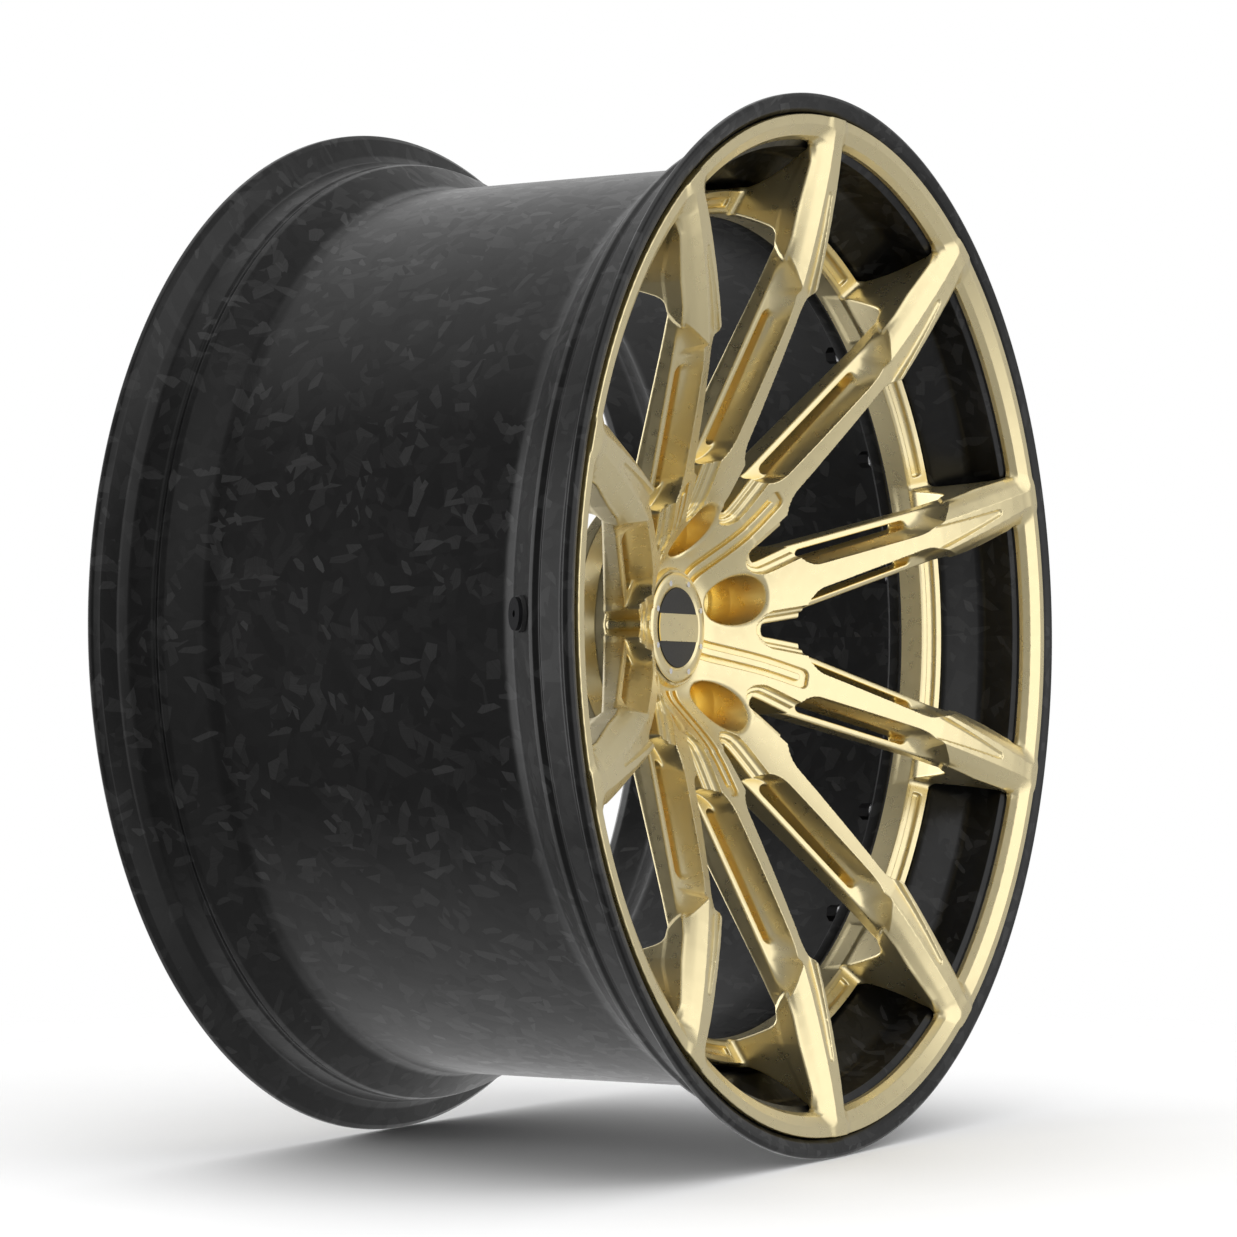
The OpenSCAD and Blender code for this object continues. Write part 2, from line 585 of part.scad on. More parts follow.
module valve_cap_seal() color(rubber) valve_frame() translate([0, 0, stem_top])
    cylinder(d = neck_d, h = seal_t);

module each_screw() for (k = [0:screw_n - 1]) rotate([0, 0, (k + 0.5) * 360 / screw_n])
    translate([screw_pcd / 2, 0, 0]) children();

module cap_body() color(carbon) axle() difference() {
    union() {
        translate([0, 0, plate_z]) cylinder(r = cap_r, h = plate_t);
        translate([0, 0, plate_z - finger_l]) cylinder(r = finger_r, h = finger_l + 0.2);
    }
    translate([0, 0, plate_z - finger_l - 1]) cylinder(r = finger_r - finger_t, h = finger_l + 1);
    for (k = [0:finger_n - 1]) rotate([0, 0, k * 360 / finger_n])
        translate([0, -finger_cut / 2, plate_z - finger_l - 1]) cube([cap_r, finger_cut, finger_l - 2]);
    each_screw() translate([0, 0, plate_z - 20]) cylinder(r = screw_d / 2 + fit_gap, h = 40, $fn = 16);
}

module cap_retainer() color(steel) axle() translate([0, 0, plate_z - finger_l + wire_d])
    rotate_extrude() translate([finger_r - finger_t - wire_d / 2 - fit_gap, 0]) circle(d = wire_d, $fn = 16);

module cap_bezel() color(gold) axle() difference() {
    rotate_extrude() polygon([
        [disc_d / 2 + fit_gap, bezel_z], [cap_r, bezel_z], [cap_r, screw_z - 0.4], [cap_r - 0.4, screw_z],
        [disc_d / 2 + 0.5, screw_z], [disc_d / 2 + fit_gap, screw_z - 0.4]]);
    each_screw() translate([0, 0, bezel_z - 1]) cylinder(r = screw_d / 2 + fit_gap, h = 5, $fn = 16);
}

module cap_disc() color(carbon) axle() translate([0, 0, bezel_z]) cylinder(d = disc_d, h = disc_t);

module cap_band() color(gold) axle() translate([0, 0, bezel_z + disc_t]) intersection() {
    cylinder(d = disc_d - 0.6, h = band_t);
    translate([-disc_d, -band_w / 2, -1]) cube([2 * disc_d, band_w, band_t + 2]);
}

module cap_screws() color(steel) axle() each_screw() {
    translate([0, 0, screw_z]) cylinder(d = screw_head_d, h = screw_head_h, $fn = 24);
    translate([0, 0, plate_z + 0.2]) cylinder(d = screw_d, h = plate_t + bezel_t, $fn = 16);
}

barrel();
centre();
front_isolator();
rear_gasket();
flange_sleeves();
assembly_bolts();
bolt_washers();
valve_stem();
valve_grommet();
valve_washer();
valve_nut();
valve_core();
valve_core_seal();
valve_core_pin();
valve_core_spring();
valve_cap();
valve_cap_seal();
cap_body();
cap_retainer();
cap_bezel();
cap_disc();
cap_band();
cap_screws();
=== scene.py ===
import math

import bpy
import numpy as np
from mathutils import Matrix, Vector


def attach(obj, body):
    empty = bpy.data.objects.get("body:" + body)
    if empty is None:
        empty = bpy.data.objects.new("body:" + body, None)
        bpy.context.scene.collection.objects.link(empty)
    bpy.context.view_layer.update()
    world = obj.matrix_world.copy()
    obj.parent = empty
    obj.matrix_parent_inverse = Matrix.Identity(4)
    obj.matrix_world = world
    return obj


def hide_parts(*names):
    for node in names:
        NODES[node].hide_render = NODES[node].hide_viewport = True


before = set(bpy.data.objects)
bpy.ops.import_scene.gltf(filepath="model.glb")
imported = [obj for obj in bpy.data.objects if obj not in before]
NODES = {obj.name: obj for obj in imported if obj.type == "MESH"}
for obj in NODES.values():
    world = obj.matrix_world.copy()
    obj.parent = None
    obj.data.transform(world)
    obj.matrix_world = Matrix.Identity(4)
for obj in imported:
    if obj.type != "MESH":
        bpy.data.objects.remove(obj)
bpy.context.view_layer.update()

MM = 0.001

# Shared sizes of the wheel in millimetres: z runs forward from the mounting face
LIP_Z = 136.0
REAR_Z = -166.0
SPOKES = 10
LUGS = 5
# Half of the angle between two spokes
HALF = math.pi / SPOKES


def smin(a, b, k):
    """Lower of two fields, rounded where they are closer than k."""
    h = np.maximum(k - np.abs(a - b), 0.0) / k
    return np.minimum(a, b) - h * h * k * 0.25


def smax(a, b, k):
    """Higher of two fields, rounded where they are closer than k."""
    return -smin(-a, -b, k)


def smooth(x, lo, hi):
    """Soft step from 0 at lo to 1 at hi."""
    u = np.clip((x - lo) / (hi - lo), 0.0, 1.0)
    return u * u * (3 - 2 * u)


def table(x, pairs):
    """Value at x on the broken line through the pairs."""
    xs, ys = zip(*pairs)
    return np.interp(x, xs, ys)


def round_both(a, b, radius):
    """Depth inside the corner a > 0 and b > 0, with the corner rounded."""
    u = np.maximum(radius - a, 0.0)
    v = np.maximum(radius - b, 0.0)
    return radius - np.hypot(u, v) + np.maximum(np.minimum(a, b) - radius, 0.0)


def round_end(s, t, end, half, radius):
    """Distance past the round end of a bar that lies along the spoke."""
    return -round_both(end - s, half - t, radius)


def polygon_field(x, y, points):
    """Signed distance to a closed polygon, negative inside."""
    best = np.inf
    inside = False
    for (ax, ay), (bx, by) in zip(points, points[1:] + points[:1]):
        ex, ey = bx - ax, by - ay
        u = np.clip(((x - ax) * ex + (y - ay) * ey) / (ex * ex + ey * ey), 0.0, 1.0)
        best = np.minimum(best, (x - ax - u * ex) ** 2 + (y - ay - u * ey) ** 2)
        level = (ay > y) != (by > y)
        inside = inside ^ (level & (x < ex * (y - ay) / (ey if ey else 1e-9) + ax))
    return np.where(inside, -1.0, 1.0) * np.sqrt(best)


# Centre: plan outlines and heights along one half of a spoke, with s along it and t beside it.
# Edge of the window near the hub: a straight ledge that runs into a round root
LEDGE_S, LEDGE_T, LEDGE_RATE = 92.3, 22.2, 0.143
ROOT_C = 75.4
ROOT_AT = (ROOT_C * math.cos(HALF), ROOT_C * math.sin(HALF))
ROOT_N = math.hypot(1.0, LEDGE_RATE)
ROOT_RHO = (ROOT_AT[1] - LEDGE_T - LEDGE_RATE * (ROOT_AT[0] - LEDGE_S)) / ROOT_N
# Half width of the spoke
SIDE = [(LEDGE_S, LEDGE_T), (94.5, 21.9), (96.5, 21.2), (99, 20.7), (104, 20.4), (181.9, 17.5), (196, 17.0),
        (207.7, 17.3), (240, 16.4), (269.7, 15.2), (288, 5.6), (300, 0.0)]
# Half width of the ridge between the two scoops
EDGE_IN = [(60, 9.4), (104, 7.3), (178, 4.25), (182, 4.35), (184.5, 4.9), (187, 6.0), (189.5, 7.5), (191.8, 9.15),
           (207.7, 17.1), (214, 20.2), (300, 40)]
# Heights of the spoke's head: its rails and the floor of the channel between them
RAIL_TOP = [(170, 103.4), (181.9, 108.9), (185, 110.7), (188, 113.3), (191.8, 116.5), (207.5, 121.0), (226, 125.6),
            (245.6, 129.9), (258, 132.3), (269.5, 134.1), (279, 135.1), (288, 135.7)]
FLOOR = [(170, 103.4), (181.9, 108.9), (191.8, 113.3), (207.5, 118.5), (226, 123.7), (246, 128.5), (300, 140)]
# Both ends of the channel: place along the spoke, half width
CHANNEL_A, CHANNEL_B = (183.0, 7.7), (244.2, 1.9)
# Drop of the moulding beside the window's root
MOULD = [(0, 7.2), (2.9, 6.9), (3.3, 6.6), (3.7, 5.9), (4.1, 5.0), (4.5, 4.45), (5.0, 4.2), (5.6, 4.1), (6.0, 3.95),
         (6.5, 3.4), (7.0, 2.5), (7.4, 1.5), (7.7, 0.5), (7.8, 0.0), (9, 0.0)]
# Underside of the spoke
UNDER = [(50, 12.0), (76, 28.6), (92, 35.2), (98, 38.4), (181.6, 83.7), (207.3, 97.6), (222, 105.4), (240, 109.5),
         (269.5, 123.6), (276, 125.6), (290, 131.6)]
# Both ends of the slot: s, t and radius
SLOT_A, SLOT_B = (107.95, 12.75, 3.35), (177.25, 11.15, 2.55)
# Head of the spoke: half width of its flat top, slope of the bevels beside it, and where the head starts
HEAD_FLAT = [(180, 60), (186, 30), (189, 12), (191.8, 9.15), (288, 4.4)]
BEVEL_RATE = [(191, 1.08), (207.7, 1.04), (269.7, 0.68), (290, 0.68)]
HEAD_START, HEAD_FULL = 172, 181.9
# Floor of the scoop: a height at one place along the spoke, its rise per millimetre and its rise towards the slot
SHELF_S, SHELF_Z, SHELF_RATE, SHELF_LIFT = 143.3, 74.93, 0.497, 3.4
# Scoop: its outer and inner side, width of the cove at its wall, radius of its corner and where it ends
SCOOP_OUT = [(98, 20.6), (181.9, 17.3), (198, 16.7), (210, 16.9)]
SCOOP_IN = [(104.6, 9.4), (179.8, 8.6)]
COVE = [(98, 2.7), (175, 4.4), (184, 9.0), (190, 8.9), (200, 4.6), (208, 1.6)]
SCOOP_CORNER, SCOOP_END = 11.0, 212
# Hub: a cone, then the spokes' ridge line, a flat around the cap and the cap's collar
CONE_R, CONE_Z, CONE_RATE = 55.5, 39.6, 0.98
RIDGE_R, RIDGE_Z, RIDGE_RATE, RIDGE_SAG = 93.7, 66.0, 0.5205, 0.00036
FLAT_Z = 24.6
COLLAR_R, COLLAR_Z, COLLAR_RATE = 33.4, 28.2, 3.0


def window_depth(s, t):
    """Distance into the metal from the edge of the window beside the spoke."""
    arc = np.hypot(s - ROOT_AT[0], t - ROOT_AT[1]) - ROOT_RHO
    line = (LEDGE_T + LEDGE_RATE * (s - LEDGE_S) - t) / ROOT_N
    before = (s - ROOT_AT[0]) + LEDGE_RATE * (t - ROOT_AT[1]) < 0
    return np.where(before, arc, line)


def sheet(s, t):
    """Height of the top surface before the side scoops are cut."""
    # hub
    r = np.hypot(s, t)
    cone = CONE_Z + CONE_RATE * (r - CONE_R)
    x = r - RIDGE_R
    ridge = RIDGE_Z + RIDGE_RATE * x - RIDGE_SAG * x * x
    collar = COLLAR_Z - np.maximum(r - COLLAR_R, 0) * COLLAR_RATE
    hub = smax(smax(smin(cone, ridge, 5.0), FLAT_Z, 5.0), collar, 1.5)
    # head: a channel between two rails
    rail = table(s, RAIL_TOP)
    floor = table(s, FLOOR)
    along = np.clip((s - CHANNEL_A[0]) / (CHANNEL_B[0] - CHANNEL_A[0]), 0.0, 1.0)
    channel = CHANNEL_A[1] + (CHANNEL_B[1] - CHANNEL_A[1]) * along
    beside = np.hypot(np.maximum(s - CHANNEL_B[0], 0), t) - channel
    wall = np.clip((beside + 1.3) / 1.7, 0.0, 1.0)
    top = rail - np.maximum(rail - floor, 0.0) * (1 - wall ** 1.8)
    # bevels beside the rails, steeper past a soft fold
    flat = table(s, HEAD_FLAT)
    beyond = np.maximum(t - flat, 0)
    over = beyond - 0.58 * (table(s, SIDE) - flat)
    fold = 0.5 * (over + np.sqrt(over * over + 1.2))
    top = top - table(s, BEVEL_RATE) * (0.82 * beyond + 0.45 * np.where(beyond > 0, fold, 0))
    mix = smooth(s, HEAD_START, HEAD_FULL)
    z = hub * (1 - mix) + top * mix
    return z - np.where(s < 110, table(window_depth(s, t), MOULD), 0.0)


def surface(s, t):
    """Height of the finished top surface."""
    top = sheet(s, t)
    outer, inner = table(s, SCOOP_OUT), table(s, SCOOP_IN)
    edge = 0.25 * (table(s - 1.4, EDGE_IN) + 2 * table(s, EDGE_IN) + table(s + 1.4, EDGE_IN))
    base = SHELF_Z + SHELF_RATE * (s - SHELF_S)
    shelf = base + SHELF_LIFT * (outer - t) / (outer - inner)
    # depth into the scoop from the ridge and from its end at the hub, then its hollow wall
    past_end = (s - (LEDGE_S + 0.25 * (LEDGE_T - t))) * 0.97
    depth = round_both(t - edge, past_end, SCOOP_CORNER)
    rise = np.maximum(sheet(s, np.minimum(edge, 18.0)) - SHELF_Z - SHELF_RATE * (s - SHELF_S) - 3.2, 0.6)
    wall = rise * (1.0 - np.clip(depth / table(s, COVE), 0.0, 1.0)) ** 2.2 + 5.0 * np.maximum(-depth, 0.0)
    scoop = np.where(s < SCOOP_END, shelf + wall, 1e3)
    return smin(top, scoop, 0.9)


# Sections of (radius, depth behind the lip): both rings, and the strut from a spoke to the rear ring
FRONT_RING = [(287.8, 4.7), (287.8, 1.7), (287.3, 1.2), (282.0, 1.4), (276.1, 5.5), (274.0, 9.7), (274.0, 12.5)]
REAR_RING = [(249.5, 76.8), (249.5, 55.8), (248.4, 54.6), (237.2, 61.2), (236.0, 62.6), (236.0, 76.8)]
STRUT = [(208, 27), (212, 30), (217.5, 32.6), (222.5, 33.2), (225.2, 34.6), (227.2, 37.6), (229.3, 42.5),
         (231.6, 48.5), (233.8, 55), (235.4, 60), (236.2, 64), (237.4, 70), (247.0, 70), (249.2, 62),
         (249.7, 56), (250.5, 50.5), (252.2, 44.6), (254.6, 38.6), (257.8, 32.2), (261.6, 26), (265.6, 20.4),
         (268.6, 16), (269.6, 12.0), (262, 11), (220, 22)]
# Half width of the strut
STRUT_HALF = [(205, 17.6), (236, 17.9), (268, 15.4), (300, 15)]
# Outside of the front ring, and where its rim is trimmed
RING_R, TRIM_R = 287.8, 287.85
# Groove in the rear ring: its middle, half width and depth below the ring's sloped face, and where it starts
GROOVE_R, GROOVE_HALF, GROOVE_DEPTH, GROOVE_T = 242.4, 2.6, 2.9, 26.0
REAR_FACE_R, REAR_FACE_D, REAR_FACE_RATE = 248.4, 54.6, 0.589
# Section of the hub bore as (radius, z), and the hub's outside as (z, radius)
BORE = [(29.2, 40), (29.2, 12), (33.3, 12), (33.3, -5), (0, -5), (0, 40)]
HUB_WALL = [(-5, 77.0), (8, 77.0), (16, 71.0), (80, 71.0)]
# Lug pocket: place, radius, floor, and the bolt hole with its seat
LUG_S, POCKET_R, POCKET_Z, BOLT_R, SEAT_Z, SEAT_DEPTH = 56.0, 14.6, 13.0, 7.25, 7.8, 5
# The pocket narrows below this height, by this much per millimetre and at most
TAPER_Z, TAPER_RATE, TAPER_MOST = 28.0, 0.12, 1.4
# Loop on the other spokes: a groove around a bar, each with its end, half width and end radius
LOOP_OUT, LOOP_BAR = (96.8, 5.75, 3.6), (91.6, 2.15, 1.6)
LOOP_START_R, LOOP_DEPTH = 37.2, 2.7


def field(s, t, z, lug):
    """Signed distance to the centre near its surface; the last number of each blend is its width."""
    r = np.hypot(s, t)
    step = 0.05
    top = surface(s, t)
    slope_s = (surface(s + step, t) - top) / step
    slope_t = (surface(s, t + step) - top) / step
    grade = np.sqrt(1 + np.minimum(slope_s ** 2 + slope_t ** 2, 60.0))
    face = (z - top) / grade
    under = (table(s, UNDER) - z) * 0.88
    # sides, a little wider towards the back
    out = np.where(s < LEDGE_S, -window_depth(s, t), t - table(s, SIDE))
    draft = np.where(s < 200, 0.06, 0.02)
    out = out - draft * np.clip(top - 8.0 - z, 0, 30)
    spoke = smax(smax(face, out, 1.6), smax(under, s - RING_R, 1.0), 1.6)
    hub = smax(smax(r - table(z, HUB_WALL), face, 1.3), -z, 1.0)
    solid = smin(spoke, hub, 2.0)
    # struts and rings
    d = LIP_Z - z
    strut = smax(polygon_field(s, d, STRUT), t - table(s, STRUT_HALF), 1.4)
    solid = smin(solid, strut, 3.0)
    groove_depth = d - (REAR_FACE_D + (REAR_FACE_R - r) * REAR_FACE_RATE)
    groove = smax(np.abs(r - GROOVE_R) - GROOVE_HALF, groove_depth - GROOVE_DEPTH, 1.6)
    groove = smax(groove, GROOVE_T - t, 1.8)
    rear_ring = smax(polygon_field(r, d, REAR_RING), -groove, 1.0)
    solid = smin(solid, rear_ring, 5.0)
    solid = smin(solid, polygon_field(r, d, FRONT_RING), 6.0)
    solid = smax(solid, 0.25 - d, 0.6)
    solid = smax(solid, r - TRIM_R, 0.5)
    # slots beside the ridge
    ex, ey = SLOT_B[0] - SLOT_A[0], SLOT_B[1] - SLOT_A[1]
    u = np.clip(((s - SLOT_A[0]) * ex + (t - SLOT_A[1]) * ey) / (ex * ex + ey * ey), 0, 1)
    slot_r = SLOT_A[2] + (SLOT_B[2] - SLOT_A[2]) * u
    slot = np.hypot(s - SLOT_A[0] - u * ex, t - SLOT_A[1] - u * ey) - slot_r
    solid = smax(solid, -slot, 1.5)
    if lug:
        reach = np.hypot(s - LUG_S, t)
        taper = np.clip((TAPER_Z - z) * TAPER_RATE, 0, TAPER_MOST)
        flare = np.maximum(z - top + 1.0, 0) * 0.7
        pocket = smax(reach - POCKET_R + taper - flare, POCKET_Z - z, 1.5)
        seat = np.maximum(reach - BOLT_R - np.clip(z - SEAT_Z, 0, SEAT_DEPTH), -z)
        cut = np.minimum(pocket, np.minimum(seat, reach - BOLT_R))
        solid = smax(solid, -cut, 1.4)
    else:
        outer, bar = (np.maximum(t - half, round_end(s, t, end, half, radius))
                      for end, half, radius in (LOOP_OUT, LOOP_BAR))
        loop = np.maximum(smax(outer, -bar, 0.6), LOOP_START_R - r)
        dig = np.maximum(loop, (top - LOOP_DEPTH - z) * 0.75)
        solid = smax(solid, -dig, 1.0)
    return smax(solid, -polygon_field(r, z, BORE), 1.3)


# Grid around the centre: cell, radii, heights, and the rows that are worked out at a time
CELL = 1.05
GRID_R, GRID_Z = (27.5, 289.6), (-2.0, 137.6)
ROWS = 32


def centre_mesh(cell):
    """Surface net of the centre on a cylindrical grid; one fifth of it is meshed and turned five times."""
    r = np.arange(*GRID_R, cell)
    z = np.arange(*GRID_Z, cell)
    n = int(round(HALF * 288 / cell))
    phi = np.arange(n + 1) * (HALF / n)
    s = (r[:, None] * np.cos(phi))[:, :, None]
    t = (r[:, None] * np.sin(phi))[:, :, None]
    halves = []
    for lug in (True, False):
        rows = []
        for i in range(0, len(r), ROWS):
            part = field(s[i:i + ROWS], t[i:i + ROWS], z[None, None, :], lug)
            rows.append(part.astype(np.float32))
        halves.append(np.concatenate(rows, 0))
    # two spokes, one with a lug pocket and one with a loop
    a, b = halves
    unit = np.concatenate([a[:, :n], b[:, n:0:-1], b[:, :n], a[:, n:0:-1]], 1)
    m = 4 * n
    wrap = np.concatenate([unit, unit[:, :1]], 1)
    solid = wrap < 0
    nr, nz = len(r) - 1, len(z) - 1
    corners = [solid[i:nr + i, j:m + j, k:nz + k] for i in (0, 1) for j in (0, 1) for k in (0, 1)]
    some = corners[0].copy()
    every = corners[0].copy()
    for c in corners[1:]:
        some |= c
        every &= c
    # one point in each cell that the surface crosses, at the mean of its crossed edges
    active = some & ~every
    ci, cj, ck = np.nonzero(active)
    count = len(ci)
    total = np.zeros((count, 3))
    hits = np.zeros(count)
    for axis in range(3):
        for p in (0, 1):
            for q in (0, 1):
                off = [0, 0, 0]
                other = [x for x in range(3) if x != axis]
                off[other[0]], off[other[1]] = p, q
                end = list(off)
                end[axis] = 1
                f0 = wrap[ci + off[0], cj + off[1], ck + off[2]]
                f1 = wrap[ci + end[0], cj + end[1], ck + end[2]]
                cross = (f0 < 0) != (f1 < 0)
                share = np.where(cross, f0 / np.where(cross, f0 - f1, 1), 0)
                point = np.zeros((count, 3))
                for x in range(3):
                    point[:, x] = off[x]
                point[:, axis] = share
                total += np.where(cross[:, None], point, 0)
                hits += cross
    at = total / hits[:, None]
    vr = r[ci] + at[:, 0] * cell
    va = (cj + at[:, 1]) * (HALF / n)
    vz = z[ck] + at[:, 2] * cell
    index = np.full(active.shape, -1, np.int64)
    index[ci, cj, ck] = np.arange(count)
    # one face across each grid edge that the surface crosses
    faces = []
    for axis in range(3):
        first = solid[:nr, :m, :nz]
        beyond = (solid[1:, :m, :nz], solid[:nr, 1:, :nz], solid[:nr, :m, 1:])[axis]
        ei, ej, ek = np.nonzero(first != beyond)
        keep = np.ones(len(ei), bool)
        if axis != 0:
            keep &= ei > 0
        if axis != 2:
            keep &= ek > 0
        ei, ej, ek = ei[keep], ej[keep], ek[keep]
        inward = first[ei, ej, ek]
        other = [x for x in range(3) if x != axis]
        ring = []
        for p, q in ((0, 0), (1, 0), (1, 1), (0, 1)):
            off = [0, 0, 0]
            off[other[0]], off[other[1]] = p, q
            jj = ej - off[1]
            wrapped = jj < 0
            ids = index[ei - off[0], jj % m, ek - off[2]]
            ring.append((ids, wrapped))
        quad = np.stack([x[0] for x in ring], 1)
        shift = np.stack([x[1] for x in ring], 1)
        flip = ~inward if axis != 1 else inward
        quad[flip] = quad[flip][:, ::-1]
        shift[flip] = shift[flip][:, ::-1]
        faces.append((quad, shift))
    quads = np.concatenate([f[0] for f in faces])
    shifts = np.concatenate([f[1] for f in faces])
    verts = np.stack([vr, va, vz], 1)
    return verts, quads, shifts, count


def to_half(x, y):
    """Half-spoke coordinates of plan points, and whether their spoke has a lug pocket."""
    ang = np.arctan2(y, x) - HALF
    turn = np.round(ang / (2 * HALF))
    phi = np.abs(ang - turn * 2 * HALF)
    r = np.hypot(x, y)
    return r * np.cos(phi), r * np.sin(phi), np.mod(turn, 2) == 0


def field_at(points):
    """Field of the whole centre at points of the wheel."""
    s, t, lug = to_half(points[:, 0], points[:, 1])
    out = np.empty(len(points))
    for flag in (True, False):
        pick = lug == flag
        out[pick] = field(s[pick], t[pick], points[pick, 2], flag)
    return out


def gradient(points, step=0.12):
    """Slope of the field at points of the wheel."""
    out = np.empty_like(points)
    for axis in range(3):
        move = np.zeros(3)
        move[axis] = step
        out[:, axis] = (field_at(points + move) - field_at(points - move)) / (2 * step)
    return out


def settle(points, rounds, most):
    """Moves points onto the surface of the centre."""
    for _ in range(rounds):
        value = field_at(points)
        slope = gradient(points)
        size = np.maximum((slope ** 2).sum(1), 0.05)
        move = -slope * (value / size)[:, None]
        length = np.maximum(np.linalg.norm(move, axis=1), 1e-9)
        points = points + move * np.minimum(1.0, most / length)[:, None]
    return points


def build_centre():
    """Points and faces of the whole centre."""
    verts, quads, shifts, count = centre_mesh(CELL)
    ang = verts[:, 1] + HALF
    unit = np.stack([verts[:, 0] * np.cos(ang), verts[:, 0] * np.sin(ang), verts[:, 2]], 1)
    unit = settle(unit, 2, 0.5 * CELL)
    points, faces = [], []
    x, y, z = unit.T
    for k in range(LUGS):
        c, s = math.cos(4 * HALF * k), math.sin(4 * HALF * k)
        points.append(np.stack([c * x - s * y, s * x + c * y, z], 1))
        faces.append(quads + ((k - shifts) % LUGS) * count)
    return np.concatenate(points), np.concatenate(faces)


def mesh_object(name, points, faces):
    """New object with faces that all have the same number of sides."""
    mesh = bpy.data.meshes.new(name)
    sides = faces.shape[1]
    mesh.vertices.add(len(points))
    mesh.vertices.foreach_set("co", np.ascontiguousarray(points, np.float32).ravel())
    mesh.loops.add(faces.size)
    mesh.loops.foreach_set("vertex_index", np.ascontiguousarray(faces, np.int32).ravel())
    mesh.polygons.add(len(faces))
    mesh.polygons.foreach_set("loop_start", np.arange(len(faces), dtype=np.int32) * sides)
    mesh.update(calc_edges=True)
    mesh.validate()
    obj = bpy.data.objects.new(name, mesh)
    bpy.context.scene.collection.objects.link(obj)
    return obj


def to_world(points):
    """Wheel millimetres to the shared frame."""
    return np.stack([points[:, 0], -points[:, 2], points[:, 1]], 1) * MM


def from_world(points):
    """The shared frame to wheel millimetres."""
    return np.stack([points[:, 0], points[:, 2], -points[:, 1]], 1) / MM


centre_points, centre_faces = build_centre()
centre = mesh_object("centre_body", to_world(centre_points), centre_faces)


# Materials


def new_material(name):
    mat = bpy.data.materials.new(name)
    mat.use_nodes = True
    return mat, mat.node_tree, mat.node_tree.nodes["Principled BSDF"]


def node(tree, kind, **settings):
    made = tree.nodes.new(kind)
    for key, value in settings.items():
        setattr(made, key, value)
    return made


def preset(made, **values):
    """Sets inputs by name, with _ for a space."""
    for key, value in values.items():
        made.inputs[key.replace("_", " ")].default_value = value
    return made


def link(tree, source, target):
    tree.links.new(source, target)


def ramp(tree, source, stops):
    """Greys or colours along the given stops."""
    made = node(tree, "ShaderNodeValToRGB")
    cr = made.color_ramp
    while len(cr.elements) < len(stops):
        cr.elements.new(0.5)
    for el, (pos, col) in zip(cr.elements, stops):
        el.position = pos
        el.color = (col, col, col, 1) if isinstance(col, (int, float)) else (*col, 1)
    link(tree, source, made.inputs[0])
    return made.outputs[0]


def math_node(tree, operation, first, second):
    made = node(tree, "ShaderNodeMath", operation=operation)
    for socket, value in zip(made.inputs, (first, second)):
        if isinstance(value, (int, float)):
            socket.default_value = value
        else:
            link(tree, value, socket)
    return made.outputs[0]


def mixed(tree, kind, factor, first, second):
    made = node(tree, "ShaderNodeMix", data_type=kind)
    sockets = [i for i in made.inputs if i.enabled]
    for socket, value in zip(sockets, (factor, first, second)):
        if isinstance(value, (int, float, tuple)):
            socket.default_value = value
        else:
            link(tree, value, socket)
    return next(o for o in made.outputs if o.enabled)


def soft_step(tree, source, start, full):
    """Soft step from 0 at start to 1 at full."""
    made = preset(node(tree, "ShaderNodeMapRange", interpolation_type="SMOOTHSTEP"), From_Min=start, From_Max=full)
    link(tree, source, made.inputs["Value"])
    return made.outputs["Result"]


def noise(tree, scale, detail):
    """Noise in the piece's own space."""
    made = preset(node(tree, "ShaderNodeTexNoise"), Scale=scale, Detail=detail)
    link(tree, node(tree, "ShaderNodeTexCoord").outputs["Object"], made.inputs["Vector"])
    return made.outputs[0]


def grainy(tree, shader, height, bump):
    """Faint bump from the grain."""
    lift = preset(node(tree, "ShaderNodeBump"), Strength=bump, Distance=0.0002)
    link(tree, height, lift.inputs["Height"])
    link(tree, lift.outputs[0], shader.inputs["Normal"])


def tinted(tree, source, colour, spread):
    """The colour, a little darker and lighter along the source."""
    low = tuple(c * (1 - spread) for c in colour)
    high = tuple(min(1, c * (1 + spread)) for c in colour)
    return ramp(tree, source, [(0.3, low), (0.7, high)])


def metal(name, colour, rough, grain=900.0, bump=0.006, spread=0.06, metallic=1.0, painted_bounce=None):
    """Satin metal: cloudy tint, fine grain in its roughness, a faint bump, and in hollows a painted warm tint for
    light bounced between its faces.
    """
    mat, tree, shader = new_material(name)
    preset(shader, Metallic=metallic)
    tint = tinted(tree, noise(tree, 9.0, 4.0), colour, spread)
    # painted bounce light: where the AO finds little open space, the colour turns to this warmer tint, which stands
    # in for light bounced between the metal's faces
    if painted_bounce:
        open_sky = preset(node(tree, "ShaderNodeAmbientOcclusion", samples=6), Distance=0.03)
        share = soft_step(tree, open_sky.outputs["AO"], 0.25, 0.72)
        tint = mixed(tree, "RGBA", share, (*painted_bounce, 1), tint)
    link(tree, tint, shader.inputs["Base Color"])
    fine = noise(tree, grain, 2.0)
    link(tree, ramp(tree, fine, [(0.25, rough - 0.04), (0.75, rough + 0.05)]), shader.inputs["Roughness"])
    if bump:
        grainy(tree, shader, fine, bump)
    return mat


def matte(name, colour, rough):
    """Rubber or moulded plastic with a fine grain."""
    mat, tree, shader = new_material(name)
    grain = noise(tree, 600.0, 3.0)
    link(tree, tinted(tree, grain, colour, 0.25), shader.inputs["Base Color"])
    link(tree, ramp(tree, grain, [(0.3, rough - 0.06), (0.7, rough + 0.08)]), shader.inputs["Roughness"])
    grainy(tree, shader, grain, 0.15)
    return mat


